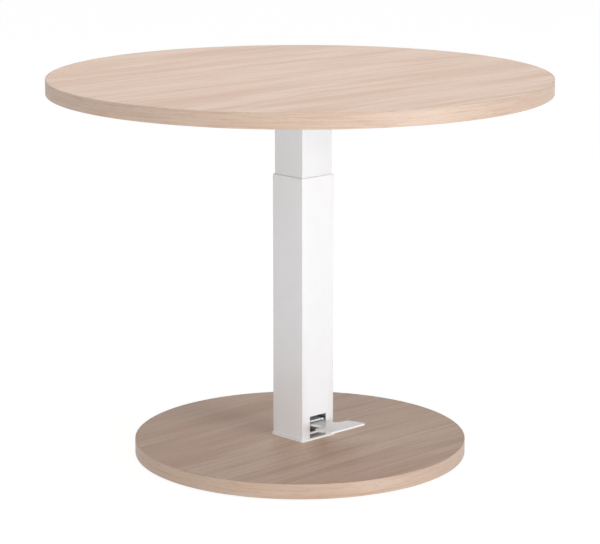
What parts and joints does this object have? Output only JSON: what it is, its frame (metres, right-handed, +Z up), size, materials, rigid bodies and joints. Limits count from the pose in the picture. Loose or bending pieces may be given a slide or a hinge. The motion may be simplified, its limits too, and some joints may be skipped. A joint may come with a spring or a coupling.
{
  "type": "adjustable dining table",
  "caption": "Round pedestal dining table with an oak-look top and base, and a square telescopic column set to height by a foot pedal and a locking gas spring.",
  "frame": {"origin": "middle of the round base, at floor level under the glides", "axes": "+Z up; the foot pedal points along -Y; X runs across the pedal"},
  "size_m": [0.9999, 1, 0.77],
  "materials": {
    "oak_laminate": "matt oak-grain laminate",
    "oak_edge": "matt oak-grain edge band",
    "chipboard": "raw chipboard",
    "backing_laminate": "matt backing laminate",
    "white_powder_coat": "satin white powder coat",
    "zinc_steel": "zinc-plated steel",
    "hard_chrome": "ground and hard-chromed",
    "black_enamel": "black enamel",
    "piston_alloy": "turned",
    "black_rubber": "nitrile rubber",
    "white_nylon": "moulded acetal",
    "grey_nylon": "moulded nylon"
  },
  "bodies": {
    "base": {"base_board": "chipboard", "base_laminate": "oak_laminate", "base_backing": "backing_laminate", "base_edge_band": "oak_edge", "floor_glides": "grey_nylon", "glide_screws": "zinc_steel", "base_clamp_plate": "zinc_steel", "base_bolts": "zinc_steel", "flange_weld_nuts": "zinc_steel", "column_flange": "white_powder_coat", "outer_column": "white_powder_coat", "upper_guide_sleeve": "white_nylon", "pedal_bracket": "white_powder_coat", "pedal_pivot_pin": "white_powder_coat", "pivot_pin_clips": "zinc_steel", "gas_spring_rod": "hard_chrome", "gas_spring_rod_nut": "zinc_steel", "gas_spring_piston": "piston_alloy", "gas_spring_piston_ring": "black_rubber"},
    "lift": {"table_top_board": "chipboard", "table_top_laminate": "oak_laminate", "table_top_backing": "backing_laminate", "table_top_edge_band": "oak_edge", "table_top_inserts": "zinc_steel", "top_mounting_plate": "white_powder_coat", "top_plate_screws": "zinc_steel", "inner_column": "white_powder_coat", "lower_guide_sleeve": "white_nylon", "gas_spring_cylinder": "black_enamel", "gas_spring_end_plug": "black_enamel", "gas_spring_stud_nut": "zinc_steel", "gas_spring_rod_guide": "piston_alloy", "gas_spring_rod_seal": "black_rubber"},
    "pedal": {"foot_pedal": "white_powder_coat", "pedal_bushes": "white_nylon"},
    "valve_pin": {"release_pin": "hard_chrome"}
  },
  "joints": [
    {"name": "lift_slide", "type": "slide", "parent": "base", "child": "lift", "axis": [0, 0, 1], "range_m": [-0.15, 0.15]},
    {"name": "pedal_hinge", "type": "hinge", "parent": "base", "child": "pedal", "pos_m": [0.009, -0.0315, 0.044], "axis": [1, 0, 0], "range_deg": [0, 7], "stiffness_Nm_per_rad": 15, "springref_deg": -11.46},
    {"name": "valve_pin_slide", "type": "slide", "parent": "base", "child": "valve_pin", "axis": [0, 0, 1], "range_m": [0, 0.004]}
  ],
  "couplings": [
    {"joint": "valve_pin_slide", "follows": "pedal_hinge", "m_per_rad": 0.031}
  ]
}
